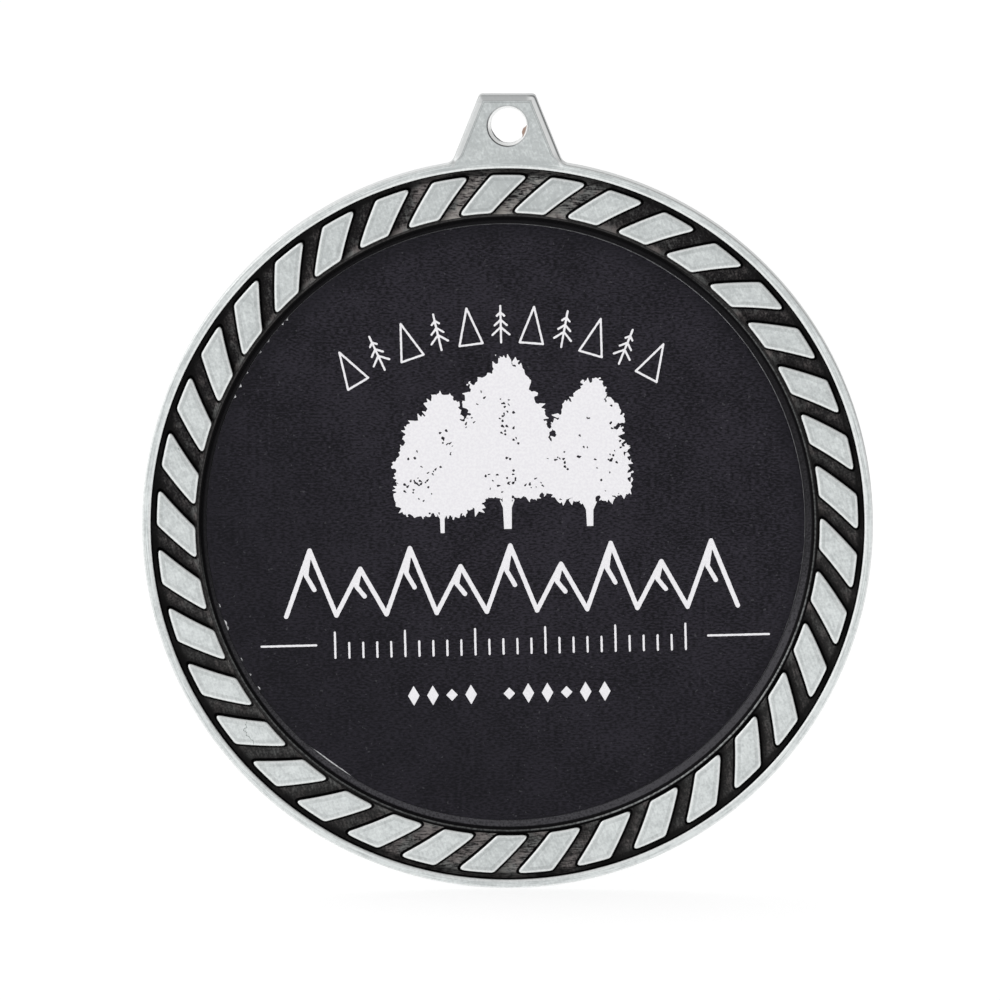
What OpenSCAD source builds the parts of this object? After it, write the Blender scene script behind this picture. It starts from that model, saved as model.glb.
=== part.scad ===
// Sports finisher medal: a die-cast disc with a rope border, a hanger tab and a printed centre.
// Millimetres. The origin is the middle of the ribbon hole, +Z is up and the face looks along -Y.
// Each piece is drawn in face coordinates, x to the right, y up and z towards the viewer, and
// on_face() stands it up behind the face, below the ribbon hole.

/* [Disc] */
// Diameter over the rim
medal_d = 60; // [58:0.5:66]
// Thickness at the rim
medal_t = 3; // [2.8:0.1:4]
// Width of the flat rim
rim_w = 0.71; // [0.6:0.01:0.9]
// Chamfer on the rim's outer edges
rim_edge = 0.2; // [0.1:0.05:0.3]
// Diameter of the shallow recess in the plain back
back_recess_d = 52; // [40:1:54]
// Depth of the recess in the back
back_recess_depth = 0.3; // [0.1:0.05:0.4]

/* [Hanger tab] */
// Diameter of the ribbon hole at its straight back part
hole_d = 3.1; // [2.4:0.1:3.4]
// How much wider the hole's tapered mouth is at the face
hole_flare = 0.32; // [0.1:0.02:0.4]
// Length of the hole's straight back part
hole_land = 1.6; // [1.4:0.1:2]
// Ribbon hole centre to disc rim
hole_over_rim = 2.76; // [2.6:0.02:3.2]
// Hole centre to the top of the tab
tab_top = 2.55; // [2.3:0.05:3]
// Width across the top of the tab
tab_top_w = 4.55; // [4.4:0.05:6]
// Slope of the tab's sides from upright, in degrees
tab_flare = 22; // [15:1:28]
// Thickness of the tab
tab_t = 2.8; // [2:0.1:2.8]
// Radius of the tab's top corners
tab_corner_r = 0.35; // [0.2:0.05:0.5]
// Radius of the fillets between the tab and the rim
tab_fillet_r = 0.8; // [0.4:0.1:1.2]

/* [Rope border] */
// Number of slanted bars
bar_count = 37; // [24:1:44]
// Gap between the rim and the bars
bar_gap = 0.5; // [0.3:0.05:0.6]
// Length of a bar across the channel
bar_reach = 3.16; // [2.6:0.02:3.3]
// Share of the pitch that is bar, the rest is gap
bar_share = 0.62; // [0.4:0.01:0.75]
// Slant of the bars from the radius, in degrees
bar_slant = 44.4; // [20:0.2:50]
// Turn of the first bar from the top, clockwise, in degrees
bar_turn = 7.16; // [0:0.02:9.7]
// Depth of the channel below the rim
channel_depth = 0.7; // [0.4:0.05:0.9]
// How far the bars stop short of the rim's face
bar_drop = 0.05; // [0.02:0.01:0.2]
// Thickness of the black enamel on the channel's floor
enamel_t = 0.08; // [0.05:0.01:0.15]

/* [Centre recess] */
// Diameter between the walls of the recess
recess_d = 50.3; // [49.8:0.1:50.4]
// Depth of the recess floor below the rim
recess_depth = 0.95; // [0.9:0.01:1.1]
// Radius of the cove between the floor and the wall
cove_r = 0.5; // [0.4:0.05:0.5]
// Width of the ridge round the recess
ridge_w = 0.4; // [0.3:0.05:0.4]
// How far the ridge stops short of the rim's face
ridge_drop = 0.3; // [0.2:0.05:0.4]
// Thickness of the black enamel in the cove
cove_enamel_t = 0.05; // [0.03:0.01:0.06]

/* [Printed centre] */
// Diameter of the white centre disc
centre_d = 49.2; // [48:0.1:49.2]
// Thickness of the adhesive under it
adhesive_t = 0.15; // [0.12:0.01:0.16]
// Thickness of the white centre disc
centre_t = 0.25; // [0.2:0.01:0.26]
// Thickness of the black print
print_t = 0.05; // [0.03:0.01:0.06]
// Thickness of the white ink
ink_t = 0.03; // [0.02:0.01:0.05]
// Turn of the print, anticlockwise, in degrees
print_turn = 1.45; // [-3:0.05:3]
// How far the centre disc was stuck left of the middle
centre_left = 0.13; // [0:0.01:0.2]
// How far the centre disc was stuck above the middle
centre_up = 0.19; // [0:0.01:0.2]

/* [White motif] */
// Width of the strokes in the arched row and the rules
fine_stroke = 0.17; // [0.15:0.01:0.3]
// Width of the hill line's strokes
hill_stroke = 0.37; // [0.25:0.01:0.5]
// Marks in the arched row
arch_marks = 11; // [5:2:13]
// Peaks along the hill line
hill_peaks = 9; // [5:1:11]
// Ticks in the distance scale
scale_ticks = 26; // [10:1:30]

/* [Hidden] */

fine = 96;
medal_r = medal_d / 2;
face_z = medal_t / 2;
centre_drop = medal_r + hole_over_rim;
tab_peak_y = centre_drop + tab_top;
tab_across = [cos(tab_flare), sin(tab_flare)];
tab_side_off = tab_across * [tab_top_w / 2, tab_peak_y];
tab_root = 0.3;
hole_over = 1;
channel_r = medal_r - rim_w;
channel_z = face_z - channel_depth;
bar_out_r = channel_r - bar_gap;
bar_in_r = bar_out_r - bar_reach;
bar_mid_r = (bar_out_r + bar_in_r) / 2;
bar_pitch = 360 / bar_count;
bar_half = bar_pitch * bar_share / 2;
recess_r = recess_d / 2;
floor_z = face_z - recess_depth;
ridge_out_r = recess_r + ridge_w;
ridge_lean = ridge_w * 0.2;
ridge_z = face_z - ridge_drop;
cove_z = floor_z + cove_r;
cove_mid_r = recess_r - cove_r;
side_steps = 3;
adhesive_margin = 0.4;
print_margin = 0.04;
print_slip = 0.03;
disc_z = floor_z + adhesive_t;
print_z = disc_z + centre_t;
ink_z = print_z + print_t;

// ---- placing ----

module on_face() {
    translate([0, 0, -centre_drop]) rotate([90, 0, 0]) children();
}

module on_centre(z) {
    on_face() translate([-centre_left, centre_up, z]) children();
}

module in_print() {
    color("white") on_centre(ink_z) rotate(print_turn) linear_extrude(ink_t) children();
}

// A point at a radius and at an angle clockwise from the top
function clock(r, a) = [r * sin(a), r * cos(a)];

function arc(mid, r, from_a, to_a, steps) = [
    for (i = [0 : steps])
        let (a = from_a + (to_a - from_a) * i / steps)
        mid + r * [cos(a), sin(a)]
];

// ---- flat shapes ----

// A straight stroke from a to b
module stroke(a, b, w) {
    d = b - a;
    translate((a + b) / 2) rotate(atan2(d[1], d[0])) square([norm(d) + w, w], center = true);
}

module path(points, w) {
    for (i = [1 : len(points) - 1]) stroke(points[i - 1], points[i], w);
}

module diamond(w, h) {
    polygon([[0, h / 2], [w / 2, 0], [0, -h / 2], [-w / 2, 0]]);
}

// ---- casting ----

// The side of a bar turns with the radius at a steady slant
function slant_turn(r) = tan(bar_slant) * ln(r / bar_mid_r) * 180 / PI;

function bar_side(side, from_r, to_r) = [
    for (i = [0 : side_steps])
        let (r = from_r + (to_r - from_r) * i / side_steps)
        clock(r, slant_turn(r) + side * bar_half)
];

function bar_end(r, side) = [
    for (i = [1 : side_steps - 1])
        clock(r, slant_turn(r) + side * bar_half * (1 - 2 * i / side_steps))
];

module bar_outline() {
    polygon(concat(bar_side(-1, bar_in_r, bar_out_r), bar_end(bar_out_r, -1),
                   bar_side(1, bar_out_r, bar_in_r), bar_end(bar_in_r, 1)));
}

module rope_bars(from_z, to_z) {
    translate([0, 0, from_z]) linear_extrude(to_z - from_z)
        for (k = [0 : bar_count - 1]) rotate(-bar_turn - k * bar_pitch) bar_outline();
}

function cove_arc(r, from_a, to_a, steps) = arc([cove_mid_r, cove_z], r, from_a, to_a, steps);

module disc_section() {
    polygon(concat(
        [[0, -face_z + back_recess_depth], [back_recess_d / 2, -face_z + back_recess_depth],
         [back_recess_d / 2, -face_z], [medal_r - rim_edge, -face_z],
         [medal_r, -face_z + rim_edge], [medal_r, face_z - rim_edge],
         [medal_r - rim_edge, face_z], [channel_r, face_z], [channel_r, channel_z],
         [ridge_out_r, channel_z], [ridge_out_r - ridge_lean, ridge_z], [recess_r, ridge_z]],
        cove_arc(cove_r, 0, -90, 6),
        [[0, floor_z]]));
}

// The right half of the tab: a round top corner, a straight sloping side and a fillet that runs
// into the rim. tab_across is the way square to that side.
module tab_half() {
    corner_y = tab_peak_y - tab_corner_r;
    corner_x = (tab_side_off - tab_corner_r - corner_y * tab_across[1]) / tab_across[0];
    fillet_off = tab_side_off + tab_fillet_r;
    fillet_up = sqrt(pow(medal_r + tab_fillet_r, 2) - pow(fillet_off, 2));
    fillet_mid = fillet_off * tab_across + fillet_up * [-tab_across[1], tab_across[0]];
    rim_a = atan2(fillet_mid[1], fillet_mid[0]);
    root_r = medal_r - rim_edge - tab_root;
    polygon(concat(
        [[0, tab_peak_y]],
        arc([corner_x, corner_y], tab_corner_r, 90, tab_flare, 4),
        arc(fillet_mid, tab_fillet_r, 180 + tab_flare, 180 + rim_a, 6),
        [root_r * [cos(rim_a), sin(rim_a)], [0, root_r]]));
}

// The hole tapers in from the tab's face and then runs straight through to its back
module ribbon_hole() {
    back_z = -tab_t / 2;
    land_z = back_z + hole_land;
    rotate([90, 0, 0]) {
        translate([0, 0, back_z - hole_over]) cylinder(d = hole_d, h = medal_t * 2, $fn = fine);
        translate([0, 0, land_z])
            cylinder(d1 = hole_d, d2 = hole_d + hole_flare, h = tab_t / 2 - land_z, $fn = fine);
        translate([0, 0, tab_t / 2]) cylinder(d = hole_d + hole_flare, h = hole_over, $fn = fine);
    }
}

module cast_body() {
    color("silver") difference() {
        union() {
            on_face() rotate_extrude($fn = fine) disc_section();
            on_face() rope_bars(channel_z - 0.1, face_z - bar_drop);
            on_face() translate([0, 0, -tab_t / 2]) linear_extrude(tab_t) {
                tab_half();
                mirror([1, 0]) tab_half();
            }
        }
        ribbon_hole();
    }
}

// ---- enamel ----

module ring(r_out, r_in, z, h) {
    translate([0, 0, z]) difference() {
        cylinder(r = r_out, h = h, $fn = fine);
        translate([0, 0, -h]) cylinder(r = r_in, h = h * 3, $fn = fine);
    }
}

module border_enamel() {
    color("black") on_face() difference() {
        ring(channel_r, ridge_out_r, channel_z, enamel_t);
        rope_bars(channel_z - enamel_t, channel_z + enamel_t * 2);
    }
}

module cove_enamel() {
    color("dimgray") on_face() rotate_extrude($fn = fine)
        polygon(concat(cove_arc(cove_r, -60, 0, 4), cove_arc(cove_r - cove_enamel_t, 0, -60, 4)));
}

// ---- printed centre ----

module centre_adhesive() {
    color("khaki") on_centre(floor_z)
        cylinder(r = centre_d / 2 - adhesive_margin, h = adhesive_t, $fn = fine);
}

module centre_disc() {
    color("whitesmoke") on_centre(disc_z) cylinder(d = centre_d, h = centre_t, $fn = fine);
}

module black_print() {
    color("darkslategray") on_centre(print_z) translate([-print_slip, -print_slip, 0])
        cylinder(r = centre_d / 2 - print_margin, h = print_t, $fn = fine);
}

// A line drawing of a fir, standing on the origin
module fir(h, w) {
    stroke([0, 0], [0, h], w);
    for (i = [1 : 3]) {
        y = h * (0.22 + 0.2 * i);
        reach = h * 0.3 * (1 - 0.22 * i);
        path([[-reach, y - reach * 0.9], [0, y], [reach, y - reach * 0.9]], w);
    }
}

// A line drawing of a peak, standing on the origin
module peak(h, w) {
    path([[-h * 0.32, 0], [0, h], [h * 0.32, 0], [-h * 0.32, 0]], w);
}

// Firs and peaks by turns along an arch over the trees
module print_arch() {
    arch_r = 24;
    arch_span = 59;
    mark_h = 3;
    in_print() translate([0, -9.2]) for (i = [0 : arch_marks - 1])
        rotate(arch_span / 2 - arch_span * i / (arch_marks - 1)) translate([0, arch_r])
            if (i % 2 == 0) peak(mark_h, fine_stroke); else fir(mark_h, fine_stroke);
}

// A round-crowned tree that stands on the origin
module tree(h, crown_w) {
    crown_r = crown_w / 2;
    square([0.5, h], center = false);
    translate([0, h - crown_r]) circle(r = crown_r, $fn = 48);
    for (side = [-1, 1]) translate([side * crown_r * 0.45, h * 0.42]) circle(r = crown_r * 0.8, $fn = 48);
}

module print_trees() {
    in_print() translate([0, -0.8]) {
        translate([-5.1, 0]) tree(11.7, 7.2);
        translate([0.15, 0]) tree(14.7, 7.6);
        translate([6.95, 0]) tree(12.3, 6.2);
    }
}

// A skyline of alternate high and low peaks, each with a short spur down its slope
module print_hills() {
    left = -18.25;
    width = 37.1;
    step = width / hill_peaks;
    base = -7.35;
    in_print() for (i = [0 : hill_peaks - 1]) {
        h = i % 2 == 0 ? 5.4 : 3.8;
        x = left + step * (i + 0.5);
        path([[x - step / 2, base], [x, base + h], [x + step / 2, base]], hill_stroke);
        path([[x, base + h], [x - 0.35, base + h * 0.62], [x + 0.3, base + h * 0.4]], hill_stroke);
    }
}

module print_rules() {
    rule_y = -9.77;
    in_print() {
        stroke([-20.35, rule_y], [-15.85, rule_y], fine_stroke);
        stroke([16.35, rule_y], [21.35, rule_y], fine_stroke);
    }
}

// A distance scale: every fifth tick is a long one
module print_scale() {
    left = -14.3;
    width = 28.8;
    base = -10.85;
    in_print() for (i = [0 : scale_ticks - 1]) {
        x = left + width * i / (scale_ticks - 1);
        h = i % 5 == 0 ? 2.1 : 1.2;
        stroke([x, base], [x, base + h], fine_stroke);
    }
}

// Two groups of small diamonds
module print_dots() {
    left = -7.95;
    pitch = 1.57;
    y = -14.14;
    in_print() for (i = [0 : 10])
        if (i != 4) translate([left + i * pitch, y]) diamond(0.95, i % 3 == 2 ? 1 : 1.64);
}

cast_body();
border_enamel();
cove_enamel();
centre_adhesive();
centre_disc();
black_print();
print_arch();
print_trees();
print_hills();
print_rules();
print_scale();
print_dots();
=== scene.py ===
import math

import bmesh
import bpy
import numpy as np
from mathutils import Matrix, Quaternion, Vector


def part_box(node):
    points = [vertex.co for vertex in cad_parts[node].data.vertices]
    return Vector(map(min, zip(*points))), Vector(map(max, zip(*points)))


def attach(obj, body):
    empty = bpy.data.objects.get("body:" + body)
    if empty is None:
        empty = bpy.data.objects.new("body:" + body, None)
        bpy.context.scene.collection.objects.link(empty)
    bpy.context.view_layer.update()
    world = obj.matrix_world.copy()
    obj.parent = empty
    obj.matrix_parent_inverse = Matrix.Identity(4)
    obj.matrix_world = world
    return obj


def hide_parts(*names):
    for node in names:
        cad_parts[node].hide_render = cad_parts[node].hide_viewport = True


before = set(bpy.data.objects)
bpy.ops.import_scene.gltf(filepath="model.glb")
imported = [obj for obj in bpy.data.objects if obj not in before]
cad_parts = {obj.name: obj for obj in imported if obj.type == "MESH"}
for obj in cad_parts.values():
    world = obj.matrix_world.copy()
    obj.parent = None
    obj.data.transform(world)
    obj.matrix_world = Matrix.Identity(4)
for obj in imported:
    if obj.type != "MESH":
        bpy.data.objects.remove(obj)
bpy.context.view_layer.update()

MM = 0.001
BODY = "root"


# -------- places, from the frame

def box_mm(node):
    """A node's low and high corners, in millimetres, rounded to the drawing's hundredths."""
    low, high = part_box(node)
    return [round(v / MM, 2) for v in low], [round(v / MM, 2) for v in high]


def width_of(node):
    low, high = box_mm(node)
    return round(high[0] - low[0], 1)


BODY_LOW, BODY_HIGH = box_mm("cast_body")
ENAMEL_LOW, ENAMEL_HIGH = box_mm("border_enamel")
DISC_LOW, DISC_HIGH = box_mm("centre_disc")
PRINT_LOW, PRINT_HIGH = box_mm("black_print")
INK_LOW, INK_HIGH = box_mm("print_rules")

RIM_R = width_of("cast_body") / 2
CHANNEL_R = width_of("border_enamel") / 2 - 0.01
RECESS_R = width_of("cove_enamel") / 2
CENTRE_R = width_of("centre_disc") / 2
PRINT_R = width_of("black_print") / 2
DISC_Y = BODY_LOW[2] + RIM_R
FACE_Z = -BODY_LOW[1]
TAB_PEAK = BODY_HIGH[2] - DISC_Y
HOLE_Y = -DISC_Y
CHANNEL_Z = -ENAMEL_HIGH[1]
ENAMEL_Z = -ENAMEL_LOW[1]
CENTRE_Z = -DISC_HIGH[1], -DISC_LOW[1]
PRINT_Z = -PRINT_HIGH[1], -PRINT_LOW[1]
INK_Z = -INK_HIGH[1], -INK_LOW[1]
CENTRE_XY = ((DISC_LOW[0] + DISC_HIGH[0]) / 2, (DISC_LOW[2] + DISC_HIGH[2]) / 2 - DISC_Y)
PRINT_XY = ((PRINT_LOW[0] + PRINT_HIGH[0]) / 2, (PRINT_LOW[2] + PRINT_HIGH[2]) / 2 - DISC_Y)

# Hanger tab
TAB_STEP = 0.1
TAB_TOP_W = 4.55
TAB_FLARE = math.radians(22)
TAB_CORNER_R = 0.35
TAB_FILLET_R = 0.8
FLAT_R = RIM_R - 0.34
STEP_R = RIM_R - 0.24
HOLE_R = 1.63
HOLE_FRONT = 0.06, HOLE_Y + 0.03
HOLE_BACK_R = 1.47
HOLE_BACK = 0.115, HOLE_Y - 0.047

# Rope border
BAR_COUNT = 37
BAR_OUT_R = CHANNEL_R - 0.5
BAR_IN_R = BAR_OUT_R - 3.16
BAR_MID_R = (BAR_OUT_R + BAR_IN_R) / 2
BAR_PITCH = 2 * math.pi / BAR_COUNT
BAR_HALF = BAR_PITCH * 0.31
BAR_SLANT = math.radians(44.4)
BAR_TURN = math.radians(7.16)
BAR_EXTRA = {-1: 0.0013, 1: 0.0005}
BAR_Z = FACE_Z - 0.05

# Centre recess
RIDGE_Z = FACE_Z - 0.3
FLOOR_Z = FACE_Z - 0.95
COVE_R = 0.5
BACK_RECESS_R = 26
BACK_RECESS_DEPTH = 0.3

PRINT_TURN = math.radians(1.45)


# -------- mesh tools

def stand_up(points):
    """Face coordinates in millimetres to the frame's metres."""
    p = np.asarray(points, float)
    return np.stack([p[:, 0], -p[:, 2], p[:, 1] + DISC_Y], 1) * MM


def clock(r, a):
    """A point at a radius and at an angle clockwise from the top."""
    return np.stack([r * np.sin(a), r * np.cos(a)], -1)


def whole_turn(count):
    """Evenly spaced angles all the way round."""
    return np.linspace(0, 2 * math.pi, count, endpoint=False)


def smoothstep(x):
    x = np.clip(x, 0, 1)
    return x * x * (3 - 2 * x)


def value_noise(x, y, size, seed):
    """Smooth noise from -1 to 1 whose bumps are about size across."""
    rng = np.random.default_rng(seed)
    table = rng.uniform(-1, 1, (64, 64))
    gx, gy = np.asarray(x) / size, np.asarray(y) / size
    ix, iy = np.floor(gx).astype(int), np.floor(gy).astype(int)
    fx, fy = smoothstep(gx - ix), smoothstep(gy - iy)

    def corner(dx, dy):
        return table[(iy + dy) % 64, (ix + dx) % 64]

    low = corner(0, 0) * (1 - fx) + corner(1, 0) * fx
    high = corner(0, 1) * (1 - fx) + corner(1, 1) * fx
    return low * (1 - fy) + high * fy


def loose_object(name, data):
    obj = bpy.data.objects.new(name, data)
    bpy.context.scene.collection.objects.link(obj)
    return obj


def solid(name, points, faces):
    """An object from face coordinates, with its faces turned outwards."""
    mesh = bpy.data.meshes.new(name)
    mesh.from_pydata(stand_up(points).tolist(), [], faces)
    bm = bmesh.new()
    bm.from_mesh(mesh)
    bmesh.ops.remove_doubles(bm, verts=bm.verts, dist=1e-8)
    bmesh.ops.recalc_face_normals(bm, faces=bm.faces)
    bm.to_mesh(mesh)
    bm.free()
    return loose_object(name, mesh)


def finish_piece(obj, material, node, sharp_deg=40):
    """Shading, material and the piece's place in the table."""
    obj.data.shade_smooth()
    obj.data.set_sharp_from_angle(angle=math.radians(sharp_deg))
    obj.data.materials.clear()
    obj.data.materials.append(material)
    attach(obj, BODY)
    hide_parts(node)


def skin(loops, closed_ends=True):
    """Points and faces of a stack of loops that have the same number of points."""
    count, n = len(loops), len(loops[0])
    points = np.concatenate(loops)
    j = np.arange(n)
    nxt = (j + 1) % n
    faces = []
    for i in range(count - 1):
        a, b = i * n, (i + 1) * n
        faces += np.stack([a + j, a + nxt, b + nxt, b + j], 1).tolist()
    if closed_ends:
        faces.append(list(range(n)))
        faces.append(list(range((count - 1) * n, count * n)))
    return points, faces


def ring_skin(loops):
    """As skin, with the last loop joined back to the first."""
    n = len(loops[0])
    points, faces = skin(loops + [loops[0]], closed_ends=False)
    total = n * len(loops)
    return points[:total], [[v % total for v in f] for f in faces]


def flat_loop(xy, z):
    z = np.broadcast_to(np.asarray(z, float), (len(xy),))
    return np.column_stack([xy, z])


def combine(obj, other, operation):
    """A union or difference applied to obj. The other object is used up."""
    mod = obj.modifiers.new("join", "BOOLEAN")
    mod.operation = operation
    mod.solver = "MANIFOLD"
    mod.object = other
    dg = bpy.context.evaluated_depsgraph_get()
    mesh = bpy.data.meshes.new_from_object(obj.evaluated_get(dg))
    obj.modifiers.clear()
    obj.data = mesh
    bpy.data.objects.remove(other)


def keep_flats_flat(obj):
    """Exact normals on the flat front and back faces and where round edges run into them."""
    mesh = obj.data
    corners, faces = len(mesh.loops), len(mesh.polygons)
    normals, sides = np.empty(corners * 3), np.empty(faces * 3)
    totals, points = np.empty(faces, int), np.empty(corners, int)
    mesh.corner_normals.foreach_get("vector", normals)
    mesh.polygons.foreach_get("normal", sides)
    mesh.polygons.foreach_get("loop_total", totals)
    mesh.loops.foreach_get("vertex_index", points)
    normals = normals.reshape(-1, 3)
    side = np.repeat(sides.reshape(-1, 3)[:, 1], totals)
    flat = np.abs(side) > 0.99999
    level = np.zeros(len(mesh.vertices))
    level[points[flat]] = np.sign(side[flat])
    level = level[points]
    joined = normals[:, 1] * level > 0.8
    normals[joined] = 0
    normals[joined, 1] = level[joined]
    mesh.normals_split_custom_set(normals)


# -------- casting

def arc_points(mid, r, from_a, to_a, steps):
    """Points along an arc and the directions from its middle, angles anticlockwise from +x."""
    a = np.linspace(from_a, to_a, steps + 1)
    out = np.stack([np.cos(a), np.sin(a)], 1)
    return np.asarray(mid) + r * out, out


def half_outline():
    """The right half of the outline, from the top of the tab round to the bottom of the disc.
    Each point comes with its outward direction and the middle of its corner, where it has one."""
    across = np.array([math.cos(TAB_FLARE), math.sin(TAB_FLARE)])
    side_off = across @ [TAB_TOP_W / 2, TAB_PEAK]
    corner_y = TAB_PEAK - TAB_CORNER_R
    corner = (side_off - TAB_CORNER_R - corner_y * across[1]) / across[0], corner_y
    fillet_off = side_off + TAB_FILLET_R
    fillet_up = math.sqrt((RIM_R + TAB_FILLET_R) ** 2 - fillet_off ** 2)
    fillet = fillet_off * across + fillet_up * np.array([-across[1], across[0]])
    rim_a = math.atan2(fillet[1], fillet[0])

    top_x = np.linspace(0, corner[0], 6)[:-1]
    top = np.stack([top_x, np.full(5, TAB_PEAK)], 1), np.tile([0.0, 1.0], (5, 1))
    bend, bend_out = arc_points(corner, TAB_CORNER_R, math.pi / 2, TAB_FLARE, 6)
    root, root_in = arc_points(fillet, TAB_FILLET_R, math.pi + TAB_FLARE, math.pi + rim_a, 8)
    side = np.linspace(bend[-1], root[0], 18)[1:-1]
    disc, disc_out = arc_points((0, 0), RIM_R, rim_a, -math.pi / 2, 340)
    points = np.concatenate([top[0], bend, side, root, disc[1:]])
    outward = np.concatenate([top[1], bend_out, np.tile(across, (16, 1)), -root_in, disc_out[1:]])
    # Drawn in further than the corner's radius, the corner becomes a sharp one on its diagonal.
    half_a = (math.pi / 2 - TAB_FLARE) / 2
    diagonal = np.array([math.cos(TAB_FLARE + half_a), math.sin(TAB_FLARE + half_a)])
    mitre = np.zeros((len(points), 2))
    mitre[5:12] = diagonal / math.cos(half_a)
    return points, outward, mitre


def full_outline():
    flip = np.array([-1.0, 1.0])
    return [np.concatenate([part, part[-2:0:-1] * flip]) for part in half_outline()]


def body_loops():
    """Every loop of the casting, from the middle of the back round the edge to the recess."""
    edge, outward, mitre = full_outline()
    in_corner = mitre.any(axis=1)
    reach = np.linalg.norm(edge, axis=1)
    turn = np.arctan2(edge[:, 0], edge[:, 1])
    tab = smoothstep((reach - RIM_R) / 0.35)
    wide = smoothstep((reach - RIM_R) / 0.9)
    edge_w = 0.16 + 0.38 * wide
    edge_d = 0.13 + 0.1 * tab
    top_z = FACE_Z - TAB_STEP * tab

    def ring(r, z):
        return flat_loop(clock(r, turn), z)

    def inset(share, extra, z):
        d = (edge_w * share + extra)[:, None]
        past = d - TAB_CORNER_R
        middle = edge - outward * TAB_CORNER_R
        sharp = in_corner[:, None] & (past > 0)
        return flat_loop(np.where(sharp, middle - mitre * past, edge - outward * d), z)

    def bevel(side):
        """Round on the disc's edge, and a chamfer with a small round on the tab's."""
        t = np.linspace(0, math.pi / 2, 7)
        round_in, round_up = 1 - np.cos(t), np.sin(t)
        chamfer_in = [0, 0.06, 0.2, 0.38, 0.58, 0.8, 1]
        chamfer_up = [0, 0.3, 0.48, 0.6, 0.74, 0.88, 1]
        return [inset(a + (b - a) * tab, 0, side * (top_z - edge_d * (1 - (u + (v - u) * tab))))
                for a, b, u, v in zip(round_in, chamfer_in, round_up, chamfer_up)]

    def crease(side):
        """The flat just inside the edge, with a shallow crease at the foot of the tab's chamfer."""
        return [inset(1, 0.02 * wide + 0.01, side * (top_z - 0.015 * wide)),
                inset(1, 0.05 * wide + 0.02, side * (top_z - 0.015 * wide)),
                inset(1, 0.08 * wide + 0.03, side * top_z)]

    back = [(-0.1, BACK_RECESS_DEPTH), (-0.03, BACK_RECESS_DEPTH - 0.03), (0, 0.04), (0.04, 0),
            (0.1, 0)]
    loops = [ring(BACK_RECESS_R + out, -FACE_Z + up) for out, up in back]
    loops += [ring(FLAT_R, -FACE_Z), ring(STEP_R, -top_z)] + crease(-1)[::-1] + bevel(-1)[::-1]
    loops += [inset(0, 0, -top_z + edge_d + 0.03), inset(0, 0, top_z - edge_d - 0.03)]
    loops += bevel(1) + crease(1)
    loops += [ring(STEP_R, top_z), ring(FLAT_R, FACE_Z)]
    channel = [(0.23, FACE_Z), (0.18, FACE_Z - 0.005), (0.06, FACE_Z - 0.045),
               (0.02, FACE_Z - 0.07), (0, FACE_Z - 0.12), (-0.1, CHANNEL_Z + 0.09),
               (-0.14, CHANNEL_Z + 0.03), (-0.2, CHANNEL_Z)]
    loops += [ring(CHANNEL_R + out, z) for out, z in channel]
    return loops + [ring(r, z) for r, z in ramp_section() + cove_section()]


def ramp_section():
    """The channel's floor, the ramp up from it and the round-topped ridge, inwards."""
    rise = RIDGE_Z - CHANNEL_Z
    floor_end, ridge_out = RECESS_R + 1.35, RECESS_R + 0.38
    ramp = [(floor_end + (ridge_out - floor_end) * t, CHANNEL_Z + rise * 0.85 * t ** 2.6)
            for t in np.linspace(0, 1, 9)]
    mid_r = RECESS_R + 0.2
    crown = [(mid_r + 0.17 * math.cos(t), RIDGE_Z - 0.08 + 0.08 * math.sin(t))
             for t in np.linspace(0.35, math.pi - 0.2, 8)]
    return ramp + crown


def cove_section(inset=0.0):
    """The wall and the cove of the recess, inwards and down to its floor."""
    mid_r, mid_z = RECESS_R - COVE_R, FLOOR_Z + COVE_R
    r = COVE_R - inset
    arc = [(mid_r + r * math.cos(t), mid_z - r * math.sin(t))
           for t in np.linspace(0, math.pi / 2, 9)]
    return arc if inset else arc + [(mid_r - 0.3, FLOOR_Z)]


def slant_turn(r):
    return math.tan(BAR_SLANT) * np.log(r / BAR_MID_R)


def eased_corner(before, corner, after):
    """A curve that rounds a corner off."""
    t = np.linspace(0, 1, 7)[:, None]
    return before * (1 - t) ** 2 + 2 * corner * t * (1 - t) + after * t ** 2


def bar_outline(grow, seed):
    """One bar's outline, grown by a distance, anticlockwise and with rounded corners.
    The seed varies it a little, as hand fettling does."""
    rng = np.random.default_rng(seed)
    out_r = BAR_OUT_R + grow + rng.uniform(-0.02, 0.02)
    in_r = BAR_IN_R - grow + rng.uniform(-0.02, 0.02)
    lean = rng.uniform(-0.0006, 0.0006, 2)
    sharp = max(0.72 + 2.4 * grow, 0.06)
    blunt = max(0.24 + 0.6 * grow, 0.03)
    slope = math.cos(BAR_SLANT)

    def at(r, side):
        """The angle of the bar's left (-1) or right (1) side at a radius."""
        own = lean[max(side, 0)] + BAR_EXTRA[side]
        return slant_turn(r) + side * (BAR_HALF + own + grow / (slope * r))

    def side_run(side, from_r, to_r):
        r = np.linspace(from_r, to_r, 9)
        return clock(r, at(r, side))

    def end_run(r, from_a, to_a):
        return clock(r, np.linspace(from_a, to_a, 7))

    runs = [side_run(1, in_r + blunt * slope, out_r - sharp * slope),
            end_run(out_r, at(out_r, 1) - sharp / out_r, at(out_r, -1) + blunt / out_r),
            side_run(-1, out_r - blunt * slope, in_r + sharp * slope),
            end_run(in_r, at(in_r, -1) + sharp / in_r, at(in_r, 1) - blunt / in_r)]
    places = (out_r, 1), (out_r, -1), (in_r, -1), (in_r, 1)
    corners = [clock(r, at(r, side)) for r, side in places]
    outline = []
    for k, run in enumerate(runs):
        after = runs[(k + 1) % 4][0]
        outline += [run, eased_corner(run[-1], corners[k], after)[1:-1]]
    return np.concatenate(outline)


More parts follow.
